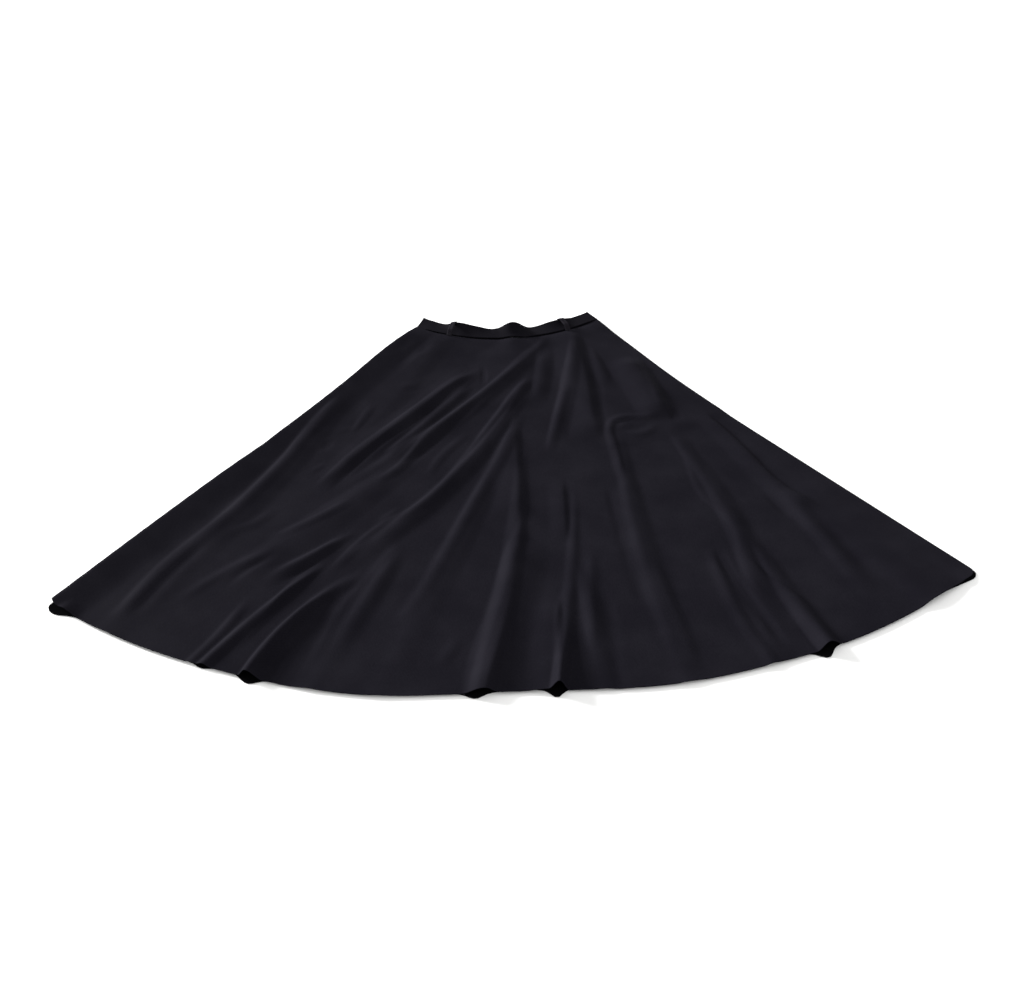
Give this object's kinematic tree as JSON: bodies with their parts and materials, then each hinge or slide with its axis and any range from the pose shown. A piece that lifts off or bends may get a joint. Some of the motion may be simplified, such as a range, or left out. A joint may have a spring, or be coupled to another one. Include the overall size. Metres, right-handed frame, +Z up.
{
  "type": "flared skirt",
  "caption": "Flared skirt laid flat, with soft slanting folds and a fluted hem, waistband with belt loops, pocket bags inside and a concealed back zip whose pull tab turns.",
  "frame": {"origin": "on the floor, below the middle of the part's box; the underside of the back rests at Z = 0", "axes": "+X to the right of someone who stands at the hem and looks at the waist, +Y from hem to waist along the skirt's centre line, +Z up, out of the front"},
  "size_m": [1.2324, 0.9076, 0.0253],
  "materials": {
    "skirt_cloth": "smooth matt black crepe",
    "band_cloth": "the same crepe, doubled and pressed",
    "pocket_cloth": "thin black lining cloth",
    "zip_tape": "black woven tape with a closed nylon coil",
    "zip_metal": "black lacquer over die-cast zinc"
  },
  "bodies": {
    "root": {"front_panel": "skirt_cloth", "back_panel_left": "skirt_cloth", "back_panel_right": "skirt_cloth", "waistband_front": "band_cloth", "waistband_back_left": "band_cloth", "waistband_back_right": "band_cloth", "belt_loop_front_left": "band_cloth", "belt_loop_front_right": "band_cloth", "belt_loop_back_left": "band_cloth", "belt_loop_back_right": "band_cloth", "pocket_bag_left": "pocket_cloth", "pocket_bag_right": "pocket_cloth", "zip_tape_left": "zip_tape", "zip_tape_right": "zip_tape", "zip_slider": "zip_metal"},
    "pull": {"zip_pull": "zip_metal"}
  },
  "joints": [
    {"name": "zip_pull_turn", "type": "hinge", "parent": "root", "child": "pull", "pos_m": [0.01779, 0.38944, 0.0014], "axis": [0.9982, 0.0593, 0], "range_deg": [0, 180]}
  ]
}
